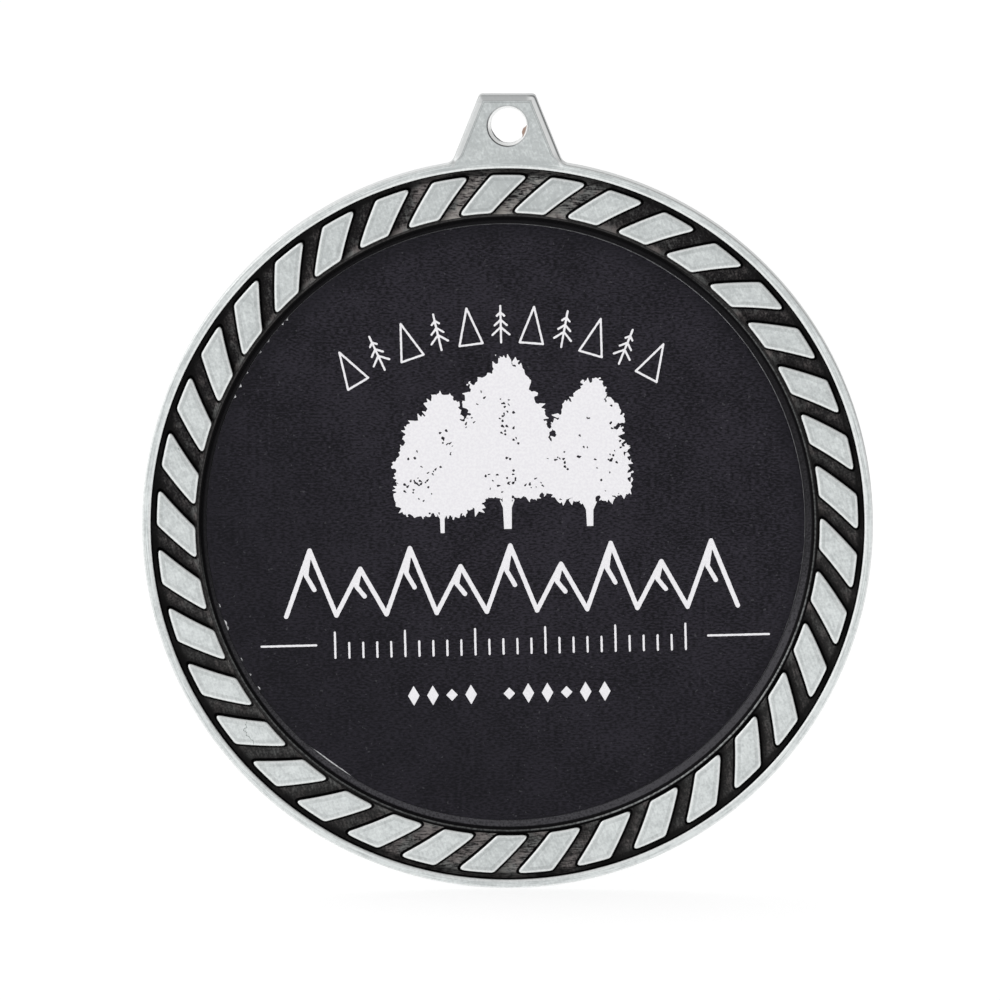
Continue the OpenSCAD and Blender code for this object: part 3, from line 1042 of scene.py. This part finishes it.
def channel_enamel():
    """Black antiquing in the channel, rubbed thin in patches and towards the ridge and paler near
    the top and bottom, with painted shade over its upper half, on one side of each gap and along
    the rim.
    """
    n = Nodes("channel_enamel")
    x, y, z = n.face_place()
    r, turn = n.polar(x, y)
    at = x, y, z
    patch = n.noise(at, 0.7, 4, 0.65)
    grain = n.noise(at, 5.5, 3, 0.75)
    along = n.times_plus(x, 5, n.times(y, 2)), n.times_plus(y, 0.9, n.times(x, -1.6)), z
    scrape = n.noise(along, 1.0, 3, 0.6)
    level = n.noise((n.times(x, 1.3), n.times(y, 7), z), 1.0, 3, 0.65)
    tint = n.noise(at, 0.8, 2)
    # Paler in patches and scrapes, towards the ridge, and near the top and bottom of the round.
    ends = n.most(n.facing(turn, 0, 0.93, 0.999), n.times(n.facing(turn, 184, 0.93, 0.998), 0.7))
    upper = n.facing(turn, 0, -0.2, 0.8)
    ramp_up = n.times(n.ramp(z, ENAMEL_Z + 0.01, ENAMEL_Z + 0.16), n.times_plus(upper, 0.25, 0.22))
    paler = n.plus(n.plus(n.times(ends, n.ramp(level, 0.34, 0.66, -0.1, 1.9)), 0.06), ramp_up)
    by_ridge = n.ramp(r, RECESS_R + 1.45, RECESS_R + 0.55)
    inner = n.times(upper, by_ridge, n.facing(turn, 0, 0.8, 0.97))
    paler = n.times_plus(inner, 0.4, paler)
    paler = n.times_plus(n.minus(patch, 0.5), n.mix(ends, 1.25, 3.4), paler)
    paler = n.times_plus(n.minus(scrape, 0.5), 1.1, paler)
    paler = n.times_plus(n.minus(grain, 0.5), n.mix(ends, 1.05, 1.9), paler)
    palest = n.times(n.ramp(paler, 0.8, 2.3), ends)
    warm = n.mix(n.ramp(tint, 0.4, 0.6), (0.22, 0.225, 0.22), (0.235, 0.212, 0.207))
    # Painted shade: the coat is darker over the upper half of the round and lighter towards the
    # bottom.
    coat = n.mix(n.facing(turn, 170, -0.5, 0.6), (0.008, 0.007, 0.008), (0.025, 0.0245, 0.0245))
    coat = n.mix(n.ramp(grain, 0.4, 0.75, 0, 0.5), coat, (0.065, 0.062, 0.062))
    # Painted shade on one side of each gap and along the channel's outer edge beside the rim's
    # wall.
    lit = n.times(gap_shade(n, r, turn), n.ramp(r, BAR_OUT_R - 0.25, BAR_OUT_R + 0.1, 1, 0.22))
    # The coat with its painted shade, turned paler in patches.
    rubbed = n.mix(n.ramp(paler, -0.1, 1.1), coat, warm)
    rubbed = n.mix(n.times(palest, 0.75), rubbed, (0.5, 0.48, 0.45))
    n.set(Base_Color=n.mix(lit, (0.002, 0.0018, 0.002), rubbed),
          Specular_IOR_Level=0.08, Roughness=n.ramp(grain, 0.3, 0.7, 0.35, 0.6))
    n.bump(n.plus(grain, scrape), 0.03, 0.7)
    return n.owner


def cove_coat():
    """Rough black enamel, with painted light making it greyer on the lower right and painted shade
    making it black at the top and under the ridge.
    """
    n = Nodes("cove_enamel")
    x, y, z = n.face_place()
    r, turn = n.polar(x, y)
    grain = n.noise((x, y, z), 5.5, 3, 0.7)
    # Painted light and shade: lightest towards the lower right, darkest at the top, and black in
    # the ridge's shadow next to the wall.
    lit_side = n.facing(turn, 165, -0.95, 0.95)
    grey = n.times_plus(n.times(lit_side, lit_side), 0.85, 0.08)
    grey = n.times_plus(n.facing(turn, 132, 0.8, 1), 0.45, grey)
    under = n.times(n.ramp(r, RECESS_R - 0.25, RECESS_R - 0.14), 0.95)
    grey = n.times(grey, n.ramp(grain, 0.3, 0.75, 0.35, 1.5), n.minus(1.0, under))
    n.set(Base_Color=n.mix(grey, (0.002, 0.0017, 0.0025), (0.072, 0.07, 0.078)),
          Specular_IOR_Level=0.08, Roughness=n.ramp(grain, 0.3, 0.7, 0.35, 0.55))
    n.bump(grain, 0.04, 0.8)
    return n.owner


def printed_black():
    """Near-black print under a fine embossed grain."""
    n = Nodes("black_print")
    x, y, z = n.face_place()
    r, turn = n.polar(x, y)
    weave = n.noise((n.times(x, 2.9), n.times(y, 7), z), 1.0, 2, 0.6)
    cloud = n.noise((x, y, z), 0.35, 2)
    speck = n.ramp(n.noise((x, y, 4.0), 3.6, 1), 0.72, 0.78)
    grain = n.times_plus(cloud, 0.25, n.minus(weave, 0.125))
    black = n.mix(n.ramp(grain, 0.34, 0.66), (0.001, 0.0006, 0.003), (0.0255, 0.0225, 0.032))
    # Painted shade: the print is darker to the lower left, towards its edge and towards the bottom.
    low_left = n.times(n.facing(turn, 222, -0.3, 1), n.ramp(r, 3, 22, 0, 0.42))
    shade = n.most(low_left, n.ramp(r, 22.8, 24.4, 0, 0.5), n.ramp(y, 0, -16, 0, 0.2))
    black = n.mix(shade, black, (0.0028, 0.0024, 0.0055))
    n.set(Base_Color=n.mix(n.times(speck, 0.3), black, (0.12, 0.12, 0.13)),
          Roughness=n.ramp(grain, 0.3, 0.7, 0.4, 0.55), Specular_IOR_Level=0.15)
    n.bump(weave, 0.02, 0.5)
    return n.owner


def white_ink():
    n = Nodes("white_ink")
    x, y, z = n.face_place()
    grain = n.noise((x, y, z), 5.0, 2)
    n.set(Base_Color=n.mix(n.ramp(grain, 0.35, 0.65), (0.89, 0.875, 0.91), (0.95, 0.94, 0.965)),
          Roughness=n.ramp(grain, 0.3, 0.7, 0.5, 0.65))
    n.bump(grain, 0.008, 0.3)
    return n.owner


def white_stock():
    n = Nodes("white_stock")
    x, y, z = n.face_place()
    fibre = n.noise((x, y, n.times(z, 8)), 3.0, 3, 0.7)
    white = n.mix(n.ramp(fibre, 0.35, 0.65), (0.3, 0.3, 0.31), (0.7, 0.7, 0.72))
    n.set(Base_Color=n.mix(n.ramp(n.squareness(), 0.99, 0.97), white, (0.06, 0.06, 0.065)),
          Roughness=n.ramp(fibre, 0.3, 0.7, 0.6, 0.8))
    n.bump(fibre, 0.02, 0.5)
    return n.owner


def adhesive():
    n = Nodes("adhesive")
    x, y, z = n.face_place()
    cells = n.noise((x, y, z), 3.0, 3)
    n.set(Base_Color=n.mix(cells, (0.6, 0.52, 0.36), (0.75, 0.7, 0.55)),
          Roughness=n.ramp(cells, 0.3, 0.7, 0.55, 0.75))
    n.bump(cells, 0.03, 0.5)
    return n.owner


# -------- stage

def pale_floor():
    """A wide white floor that the medal's rim stands on."""
    mesh = bpy.data.meshes.new("floor")
    reach = 4.0
    z = BODY_LOW[2] * MM
    corners = [(x * reach, y * reach, z) for x, y in ((-1, -1), (1, -1), (1, 1), (-1, 1))]
    mesh.from_pydata(corners, [], [(0, 1, 2, 3)])
    floor = loose_object("floor", mesh)
    n = Nodes("floor")
    n.set(Base_Color=(0.48, 0.48, 0.48), Roughness=0.9, Specular_IOR_Level=0.0,
          Emission_Color=(1, 1, 1), Emission_Strength=0.72)
    mesh.materials.append(n.owner)


def studio_world():
    """White to the eye. What lights the medal is brighter from the lower left than from the
    upper right."""
    n = Nodes("studio", "worlds")
    n.tree.nodes.clear()
    white = (1, 1, 1)
    ray = n.add("TexCoord").outputs["Generated"]
    slope = n.add("VectorMath", ray, (-0.8, 0, -0.6), operation="DOT_PRODUCT").outputs["Value"]
    behind = n.add("VectorMath", ray, (-0.4, 1, 0), operation="DOT_PRODUCT").outputs["Value"]
    grade = n.add("MapRange", slope, -1, 1, 0.35, 1.4).outputs[0]
    backdrop = n.add("MapRange", behind, 0.7, 0.95, 0, 0.15).outputs[0]
    lit = n.add("Background", white, n.plus(grade, backdrop)).outputs[0]
    seen = n.add("Background", white).outputs[0]
    to_eye = n.add("LightPath").outputs["Is Camera Ray"]
    n.add("OutputWorld", n.add("MixShader", to_eye, lit, seen).outputs[0])
    bpy.context.scene.world = n.owner


def soft_box(name, azimuth, elevation, distance, size, power):
    """A square area light that faces the medal."""
    data = bpy.data.lights.new(name, "AREA")
    data.size = size
    data.energy = power
    lamp = loose_object(name, data)
    away = direction(azimuth, elevation)
    lamp.location = Vector((0, 0, DISC_Y * MM)) + away * distance
    lamp.rotation_euler = (-away).to_track_quat("-Z", "Y").to_euler()


def direction(azimuth, elevation):
    """From the medal: azimuth 0 is straight out of its face, and 90 is to its right."""
    a, e = math.radians(azimuth), math.radians(elevation)
    return Vector((math.sin(a) * math.cos(e), -math.cos(a) * math.cos(e), math.sin(e)))


def camera():
    """Nearly square on, a little right and above, from well back."""
    azimuth, elevation, distance, view_w = 0.8, 5.0, 1.35, 0.08206
    roll, aim_left, aim_up = -0.076, 0.608 * MM, 2.03 * MM
    data = bpy.data.cameras.new("camera")
    data.lens = data.sensor_width * distance / view_w
    data.clip_start, data.clip_end = 0.05, 20
    cam = loose_object("camera", data)
    away = direction(azimuth, elevation)
    turn = (-away).to_track_quat("-Z", "Y") @ Quaternion((0, 0, 1), math.radians(roll))
    right, up = turn @ Vector((1, 0, 0)), turn @ Vector((0, 1, 0))
    aim = Vector((0, -FACE_Z * MM, DISC_Y * MM)) - right * aim_left + up * aim_up
    cam.location = aim + away * distance
    cam.rotation_mode = "QUATERNION"
    cam.rotation_quaternion = turn
    bpy.context.scene.camera = cam


# -------- assembly

camera()
pale_floor()
studio_world()
soft_box("key_box", azimuth=-48, elevation=32, distance=0.9, size=0.35, power=0.45)

cast_body(antique_silver())
border_enamel(channel_enamel())
cove_enamel(cove_coat())
centre_disc(white_stock())
black_print(printed_black())
ink = white_ink()
print_arch(ink)
print_trees(ink)
print_hills(ink)
print_rules(ink)
print_scale(ink)
print_dots(ink)
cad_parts["centre_adhesive"].data.materials[0] = adhesive()

bpy.context.scene.view_settings.view_transform = "Standard"
